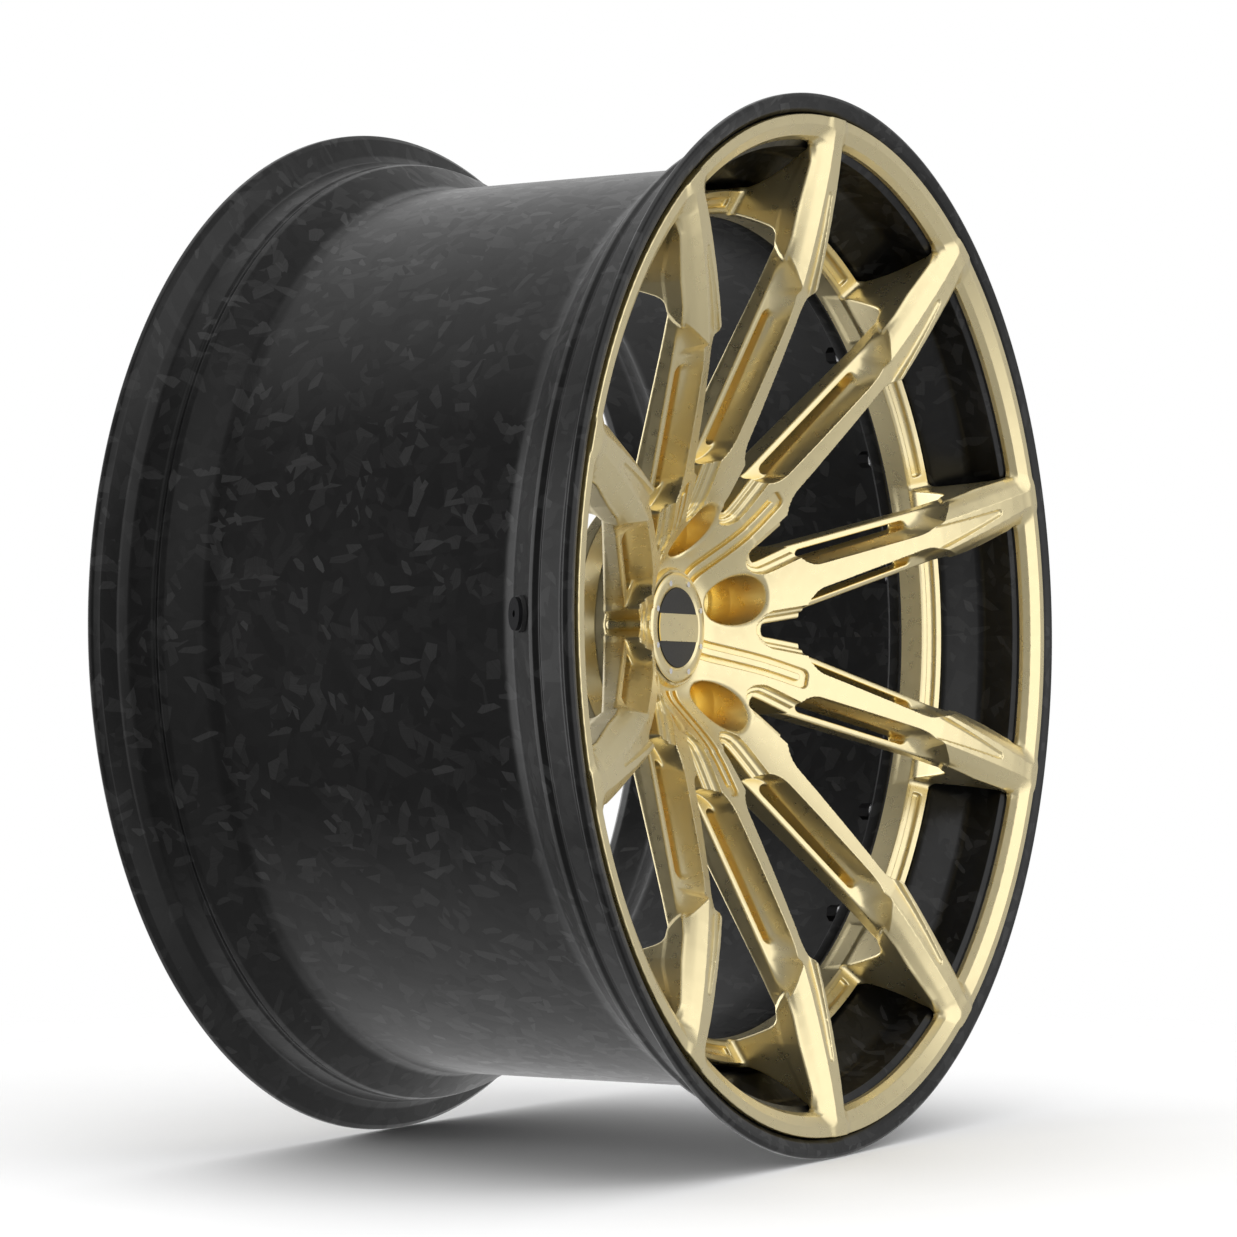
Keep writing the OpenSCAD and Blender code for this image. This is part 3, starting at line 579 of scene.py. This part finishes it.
def chips(tree, vector, turn, scale, stretch, seed):
    """One layer of flat chips: three random values per chip and fibre lines along each chip's own direction."""
    turned = preset(node(tree, "ShaderNodeVectorRotate", rotation_type="Z_AXIS"), Angle=turn)
    link(tree, vector, turned.inputs["Vector"])
    mapping = preset(node(tree, "ShaderNodeMapping"), Location=(seed * 3.7, seed * 1.9, 0),
                     Scale=(scale, scale * stretch, scale))
    link(tree, turned.outputs[0], mapping.inputs[0])
    cell = preset(node(tree, "ShaderNodeTexVoronoi", voronoi_dimensions="2D"), Scale=1.0)
    link(tree, mapping.outputs[0], cell.inputs["Vector"])
    split = node(tree, "ShaderNodeSeparateColor")
    link(tree, cell.outputs["Color"], split.inputs[0])
    angle = math_node(tree, "MULTIPLY", split.outputs[1], 2 * math.pi)
    spin = node(tree, "ShaderNodeVectorRotate", rotation_type="Z_AXIS")
    link(tree, vector, spin.inputs["Vector"])
    link(tree, angle, spin.inputs["Angle"])
    squeeze = preset(node(tree, "ShaderNodeMapping"), Scale=(60, 1500, 1))
    link(tree, spin.outputs[0], squeeze.inputs[0])
    fibre = preset(node(tree, "ShaderNodeTexNoise", noise_dimensions="2D"), Scale=1.0, Detail=2.0)
    link(tree, squeeze.outputs[0], fibre.inputs["Vector"])
    return split.outputs, fibre.outputs[0], cell.outputs["Color"]


# Layers of chips: turn, chips per metre, stretch, seed, share of chips shown, brightness
CHIP_LAYERS = ((0.4, 80, 0.7, 1, 2.0, 0.36), (1.9, 120, 0.42, 2, 0.42, 0.5), (2.7, 150, 0.4, 3, 0.34, 0.56),
               (1.2, 180, 0.5, 4, 0.3, 0.62), (0.1, 240, 0.35, 5, 0.14, 0.7), (2.2, 300, 0.45, 6, 0.08, 0.78))
CHIP_TILT = 0.04


def forged_carbon(name):
    """Chopped carbon chips in clear resin: overlapping chips that differ in tone and in tilt."""
    mat, tree, shader = new_material(name)
    uv = node(tree, "ShaderNodeUVMap", uv_map="lay").outputs[0]
    tone, tilt = None, None
    for turn, scale, stretch, seed, share, bright in CHIP_LAYERS:
        picks, fibre, colour = chips(tree, uv, turn, scale, stretch, seed)
        line = ramp(tree, fibre, [(0.3, 0.86 * bright), (0.7, 1.1 * bright)])
        shade = math_node(tree, "MULTIPLY", ramp(tree, picks[0], [(0.0, 0.12), (0.6, 0.4), (1.0, 1.0)]), line)
        if tone is None:
            tone, tilt = shade, colour
            continue
        over = math_node(tree, "LESS_THAN", picks[2], share)
        tone = mixed(tree, "FLOAT", over, tone, shade)
        tilt = mixed(tree, "RGBA", over, tilt, colour)
    link(tree, ramp(tree, tone, [(0.0, 0.002), (0.3, 0.006), (1.0, 0.033)]), shader.inputs["Base Color"])
    link(tree, ramp(tree, tone, [(0.0, 0.42), (1.0, 0.34)]), shader.inputs["Roughness"])
    shift = node(tree, "ShaderNodeVectorMath", operation="MULTIPLY_ADD")
    shift.inputs[1].default_value = (2 * CHIP_TILT,) * 3
    shift.inputs[2].default_value = (-CHIP_TILT,) * 3
    link(tree, tilt, shift.inputs[0])
    geometry = node(tree, "ShaderNodeNewGeometry")
    lean = node(tree, "ShaderNodeVectorMath", operation="ADD")
    link(tree, geometry.outputs["Normal"], lean.inputs[0])
    link(tree, shift.outputs[0], lean.inputs[1])
    unit = node(tree, "ShaderNodeVectorMath", operation="NORMALIZE")
    link(tree, lean.outputs[0], unit.inputs[0])
    link(tree, unit.outputs[0], shader.inputs["Normal"])
    preset(shader, Specular_IOR_Level=0.08, Coat_Weight=0.5, Coat_Roughness=0.24)
    return mat


# the gold's hollows get a painted orange tint, which stands in for light bounced between gold faces
GOLD = metal("gold_anodised", (0.80, 0.69, 0.41), 0.29, grain=160.0, bump=0.0, spread=0.03, metallic=0.94,
             painted_bounce=(0.95, 0.74, 0.27))
STEEL = metal("plated_steel", (0.88, 0.88, 0.9), 0.24)
DARK_STEEL = metal("black_oxide_steel", (0.03, 0.03, 0.032), 0.58)
BRASS = metal("nickel_brass", (0.56, 0.48, 0.30), 0.3)
RUBBER = matte("rubber", (0.018, 0.018, 0.018), 0.62)
PLASTIC = matte("cap_plastic", (0.02, 0.02, 0.021), 0.45)
INLAY = matte("cap_inlay_dark", (0.012, 0.012, 0.013), 0.4)
CARBON = forged_carbon("forged_carbon")


def dress(obj, mat):
    obj.data.materials.clear()
    obj.data.materials.append(mat)


def shade_smooth(obj):
    obj.data.polygons.foreach_set("use_smooth", np.ones(len(obj.data.polygons), bool))


# Centre: thinned mesh with normals read from the field
CENTRE_FACES = 199000
# Cosines between the normals of a face: lower is a fold, and lower is not this face's surface
FOLD_COS, TRUE_COS = 0.6, 0.35


def decimated(obj, faces_left):
    """Swaps the object's mesh for one with fewer faces."""
    mod = obj.modifiers.new("thin", "DECIMATE")
    mod.ratio = min(1.0, faces_left / (2 * len(obj.data.polygons)))
    mod.use_collapse_triangulate = True
    graph = bpy.context.evaluated_depsgraph_get()
    mesh = bpy.data.meshes.new_from_object(obj.evaluated_get(graph))
    obj.modifiers.clear()
    old = obj.data
    obj.data = mesh
    bpy.data.meshes.remove(old)


def vertex_points(mesh):
    flat = np.empty(len(mesh.vertices) * 3, np.float32)
    mesh.vertices.foreach_get("co", flat)
    return flat.reshape(-1, 3).astype(float)


def corner_vertices(mesh):
    """Vertex of each face corner, one row per face."""
    flat = np.empty(len(mesh.loops), np.int32)
    mesh.loops.foreach_get("vertex_index", flat)
    return flat.reshape(len(mesh.polygons), -1)


def face_cross(points, corners):
    """Normal of each face, as long as twice its area."""
    a, b, c = (points[corners[:, k]] for k in range(3))
    return np.cross(b - a, c - a)


def true_normals(points, corners, inset=0.3, step=0.35):
    """Shading normal of each face corner, read from the field a little inside its face."""
    faces = points[corners]
    middle = faces.mean(1, keepdims=True)
    slope = gradient((faces + inset * (middle - faces)).reshape(-1, 3), step)
    slope /= np.maximum(np.linalg.norm(slope, axis=1), 1e-9)[:, None]
    flat = face_cross(points, corners)
    flat /= np.maximum(np.linalg.norm(flat, axis=1), 1e-12)[:, None]
    flat = np.repeat(flat, corners.shape[1], axis=0)
    return np.where(((slope * flat).sum(1) < TRUE_COS)[:, None], flat, slope)


decimated(centre, CENTRE_FACES)
local = from_world(vertex_points(centre.data))
moved = settle(local, 2, 0.2)
corners = corner_vertices(centre.data)
# a face that would fold over stays where it was
before, after = face_cross(local, corners), face_cross(moved, corners)
agree = (before * after).sum(1)
least = FOLD_COS * np.linalg.norm(before, axis=1) * np.linalg.norm(after, axis=1)
folded = np.unique(corners[agree < least])
moved[folded] = local[folded]
centre.data.vertices.foreach_set("co", to_world(moved).astype(np.float32).ravel())
shade_smooth(centre)
normals = true_normals(moved, corners)
centre.data.normals_split_custom_set(np.stack([normals[:, 0], -normals[:, 2], normals[:, 1]], 1))
centre.data.update()
dress(centre, GOLD)
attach(centre, "wheel")
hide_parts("centre")


# Barrel and bezel: turned outlines


def filleted(points, radii, steps=6):
    """Closed outline with its corners rounded."""
    out = []
    n = len(points)
    for i in range(n):
        p0, p1, p2 = (np.array(points[(i + k - 1) % n], float) for k in range(3))
        r = radii[i]
        u, v = p0 - p1, p2 - p1
        lu, lv = np.linalg.norm(u), np.linalg.norm(v)
        u, v = u / lu, v / lv
        cos = float(np.clip(u @ v, -1, 1))
        ang = math.acos(cos)
        if r <= 0 or ang > math.pi - 0.02:
            out.append(p1)
            continue
        cut = min(r / math.tan(ang / 2), 0.48 * lu, 0.48 * lv)
        rr = cut * math.tan(ang / 2)
        centre_at = p1 + (u + v) / np.linalg.norm(u + v) * (rr / math.sin(ang / 2))
        a, b = p1 + u * cut - centre_at, p1 + v * cut - centre_at
        t0, t1 = math.atan2(a[1], a[0]), math.atan2(b[1], b[0])
        turn = (t1 - t0 + math.pi) % (2 * math.pi) - math.pi
        for k in range(steps + 1):
            w = t0 + turn * k / steps
            out.append(centre_at + rr * np.array([math.cos(w), math.sin(w)]))
    return np.array(out)


def lathe(name, outline, segments, uv_radius=None):
    """Closed outline of (radius, z) turned about the axle, laid flat at one radius for its chips."""
    n = len(outline)
    ang = np.arange(segments) * (2 * math.pi / segments)
    pts = np.empty((segments, n, 3))
    pts[:, :, 0] = np.cos(ang)[:, None] * outline[None, :, 0]
    pts[:, :, 1] = np.sin(ang)[:, None] * outline[None, :, 0]
    pts[:, :, 2] = outline[None, :, 1]
    idx = np.arange(segments * n).reshape(segments, n)
    nxt = np.roll(idx, -1, 0)
    quads = np.stack([idx, nxt, np.roll(nxt, -1, 1), np.roll(idx, -1, 1)], 2).reshape(-1, 4)
    ahead = np.roll(outline, -1, 0)
    if np.sum(outline[:, 0] * ahead[:, 1] - ahead[:, 0] * outline[:, 1]) < 0:
        quads = quads[:, ::-1]
    obj = mesh_object(name, to_world(pts.reshape(-1, 3)), quads)
    shade_smooth(obj)
    if uv_radius:
        layer = obj.data.uv_layers.new(name="lay")
        steps = np.linalg.norm(np.diff(np.vstack([outline, outline[:1]]), axis=0), axis=1)
        arc = np.concatenate([[0], np.cumsum(steps)])
        seg, prof = np.divmod(corner_vertices(obj.data), n)
        seg = np.where(seg.max(1, keepdims=True) - seg > segments // 2, seg + segments, seg)
        prof_wrap = np.where(prof.max(1, keepdims=True) - prof > n // 2, prof + n, prof)
        arcs = np.concatenate([arc[:-1], arc[-1] + arc[:2]])
        uv = np.stack([seg * (2 * math.pi * uv_radius / segments), arcs[prof_wrap]], 2) * MM
        layer.data.foreach_set("uv", uv.astype(np.float32).ravel())
    return obj


# Barrel outlines of (radius, depth from the lip, fillet): its outside, and its inside from either lip
WELL_R = 262.8
RIM_OUT = [(294.4, 0.5, 0), (297.0, 0.0, 1.2), (299.3, 0.9, 2.0), (299.3, 4.2, 2.0), (296.6, 6.9, 2),
           (286.4, 11.2, 4.5), (282.2, 15.6, 4), (280.2, 28.4, 2.0), (278.7, 30.2, 2), (279.9, 33.2, 2),
           (279.0, 36.2, 3.5), (264.6, 53.5, 10), (WELL_R, 60.0, 14)]
FRONT_IN = [(236.4, 77.8, 0.8), (253.8, 77.8, 3.6), (253.8, 56.4, 10), (270.7, 36.6, 9), (270.7, 15.6, 0.8),
            (288.2, 5.7, 1.0), (288.9, 3.6, 1.5), (291.2, 1.6, 2.2)]
REAR_IN = [(253.8, 62, 10), (270.7, 41.4, 9), (270.7, 17.5, 4), (273.7, 11.5, 5), (280.7, 6.2, 5),
           (291.4, 2.2, 2.5)]
# Back of the flange that the centre bolts to, as (radius, z, fillet)
FLANGE = [(253.8, 49.2, 4.0), (238.4, 49.2, 0.6), (236.4, 51.2, 0.6)]
# Longest step along the barrel's outline
BARREL_STEP = 14.0
BARREL_SEGMENTS = 360


def barrel_outline():
    """Outline of the barrel as (radius, z)."""
    rim = [(r, LIP_Z - d, f) for r, d, f in RIM_OUT]
    rim += [(r, REAR_Z + d, f) for r, d, f in RIM_OUT[::-1] + REAR_IN[::-1]]
    rim += FLANGE + [(r, LIP_Z - d, f) for r, d, f in FRONT_IN]
    return filleted([p[:2] for p in rim], [p[2] for p in rim])


def densified(outline, longest):
    """Outline with no step longer than the given length."""
    out = []
    for a, b in zip(outline, np.roll(outline, -1, 0)):
        k = max(1, int(math.ceil(np.linalg.norm(b - a) / longest)))
        out += [a + (b - a) * i / k for i in range(k)]
    return np.array(out)


barrel = lathe("barrel_body", densified(barrel_outline(), BARREL_STEP), BARREL_SEGMENTS, WELL_R)
dress(barrel, CARBON)
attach(barrel, "wheel")
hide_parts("barrel")

# Bezel of the cap: (radius, depth below its top)
BEZEL_TOP = 30.6
BEZEL = [(23.1, 1.2), (31.95, 1.2), (31.95, 0.85), (31.7, 0.6), (30.1, 0.06), (29.8, 0.0), (25.4, 0.0),
         (25.1, 0.08), (23.4, 0.85), (23.1, 1.05)]
BEZEL_SEGMENTS = 128
bezel = lathe("bezel_ring", np.array([(r, BEZEL_TOP - d) for r, d in BEZEL]), BEZEL_SEGMENTS)
dress(bezel, GOLD)
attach(bezel, "centre_cap")
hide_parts("cap_bezel")

# Pieces that are shown as the solids are
FINISH = {
    "front_isolator": RUBBER, "rear_gasket": RUBBER, "flange_sleeves": STEEL, "assembly_bolts": DARK_STEEL,
    "bolt_washers": DARK_STEEL, "valve_stem": DARK_STEEL, "valve_grommet": RUBBER, "valve_washer": STEEL,
    "valve_nut": STEEL, "valve_core": BRASS, "valve_core_seal": RUBBER, "valve_core_pin": BRASS,
    "valve_core_spring": STEEL, "valve_cap": STEEL, "valve_cap_seal": RUBBER, "cap_body": PLASTIC,
    "cap_retainer": STEEL, "cap_disc": INLAY, "cap_band": GOLD, "cap_screws": STEEL}
for name, mat in FINISH.items():
    dress(NODES[name], mat)

# Camera: its direction from the wheel, lens and place
AZ, EL = math.radians(-59.787), math.radians(-1.664)
BACK = Vector((math.sin(AZ) * math.cos(EL), -math.cos(AZ) * math.cos(EL), math.sin(EL)))
RIGHT = Vector((math.cos(AZ), math.sin(AZ), 0))
UP = BACK.cross(RIGHT)
cam_data = bpy.data.cameras.new("camera")
cam_data.lens = 106.16
cam_data.sensor_width = 36.0
cam_data.clip_end = 50.0
camera = bpy.data.objects.new("camera", cam_data)
TARGET, DISTANCE, SHIFT_RIGHT, SHIFT_UP = Vector((0, 0.01507, 0)), 2.1381, 0.00447, 0.00597
place = TARGET + BACK * DISTANCE + RIGHT * SHIFT_RIGHT + UP * SHIFT_UP
camera.matrix_world = Matrix.Translation(place) @ Matrix((RIGHT, UP, BACK)).transposed().to_4x4()
bpy.context.scene.collection.objects.link(camera)
bpy.context.scene.camera = camera

# Floor: a round disc that fades out towards its rim
FLOOR_R, FLOOR_RINGS, FLOOR_SIDES = 2.2, 24, 96
disc = [(0.0, 0.0, 0.0)]
for i in range(1, FLOOR_RINGS + 1):
    for k in range(FLOOR_SIDES):
        a = 2 * math.pi * k / FLOOR_SIDES
        disc.append((FLOOR_R * i / FLOOR_RINGS * math.cos(a), FLOOR_R * i / FLOOR_RINGS * math.sin(a), 0.0))
floor_faces = [(0, 1 + k, 1 + (k + 1) % FLOOR_SIDES) for k in range(FLOOR_SIDES)]
for i in range(FLOOR_RINGS - 1):
    b = 1 + i * FLOOR_SIDES
    for k in range(FLOOR_SIDES):
        k2 = (k + 1) % FLOOR_SIDES
        floor_faces.append((b + k, b + FLOOR_SIDES + k, b + FLOOR_SIDES + k2, b + k2))
floor_mesh = bpy.data.meshes.new("floor")
floor_mesh.from_pydata(disc, [], floor_faces)
floor = bpy.data.objects.new("floor", floor_mesh)
floor.location = (0, 0.015, -0.2995)
bpy.context.scene.collection.objects.link(floor)
floor.visible_glossy = False
mat, tree, shader = new_material("pale_floor")
preset(shader, Base_Color=(0.88, 0.88, 0.88, 1), Roughness=0.7)
length = node(tree, "ShaderNodeVectorMath", operation="LENGTH")
link(tree, node(tree, "ShaderNodeTexCoord").outputs["Object"], length.inputs[0])
fade = ramp(tree, length.outputs["Value"], [(0.30, 1.0), (1.0, 0.0)])
clear = node(tree, "ShaderNodeBsdfTransparent")
mixer = node(tree, "ShaderNodeMixShader")
link(tree, fade, mixer.inputs[0])
link(tree, clear.outputs[0], mixer.inputs[1])
link(tree, shader.outputs[0], mixer.inputs[2])
link(tree, mixer.outputs[0], tree.nodes["Material Output"].inputs[0])
floor_mesh.materials.append(mat)


def area_light(name, at, size, power):
    """Square lamp that faces the wheel and is not mirrored in it."""
    data = bpy.data.lights.new(name, "AREA")
    data.shape = "RECTANGLE"
    data.size = data.size_y = size
    data.energy = power
    lamp = bpy.data.objects.new(name, data)
    lamp.location = at
    lamp.rotation_euler = (-Vector(at)).to_track_quat("-Z", "Y").to_euler()
    lamp.visible_glossy = False
    bpy.context.scene.collection.objects.link(lamp)


area_light("overhead", (-0.3, -0.5, 2.8), 3.4, 76)
area_light("side", (-2.6, 1.3, 0.7), 2.2, 36)

# Studio around the wheel, white to the camera
world = bpy.data.worlds.new("studio")
world.use_nodes = True
bpy.context.scene.world = world
wt = world.node_tree
wt.nodes.clear()
path = node(wt, "ShaderNodeLightPath")
aim = node(wt, "ShaderNodeTexCoord")


def facing(direction):
    """How far a world direction points the given way, from -1 to 1."""
    dot = node(wt, "ShaderNodeVectorMath", operation="DOT_PRODUCT")
    link(wt, aim.outputs["Generated"], dot.inputs[0])
    dot.inputs[1].default_value = direction
    return dot.outputs["Value"]


def glow(under, direction, start, full, level):
    """The studio with a soft patch of light around one direction."""
    share = soft_step(wt, facing(direction), start, full)
    return mixed(wt, "RGBA", share, under, (level, level, level, 1))


room = preset(node(wt, "ShaderNodeMapRange"), From_Min=-1.0)
link(wt, facing((0.75, -0.66, 0.0)), room.inputs["Value"])
studio = ramp(wt, room.outputs["Result"], [(0.0, 0.2), (0.22, 0.25), (0.5, 0.42), (0.7, 0.48), (1.0, 0.5)])
# behind on the right, behind on the left, above, below and in front
for patch in (((0.72, 0.69, 0.0), 0.6, 0.97, 0.95), ((-0.25, 0.968, 0.0), 0.78, 0.985, 2.3),
              ((0.15, 0.51, 0.846), 0.68, 0.98, 0.85), ((0.15, 0.51, -0.846), 0.68, 0.98, 0.85),
              ((0.0, -0.97, 0.242), 0.62, 0.88, 1.44)):
    studio = glow(studio, *patch)
shown = mixed(wt, "RGBA", path.outputs["Is Camera Ray"], studio, (1.0, 1.0, 1.0, 1.0))
backdrop = node(wt, "ShaderNodeBackground")
link(wt, shown, backdrop.inputs[0])
link(wt, backdrop.outputs[0], node(wt, "ShaderNodeOutputWorld").inputs[0])

bpy.context.scene.view_settings.view_transform = "Standard"
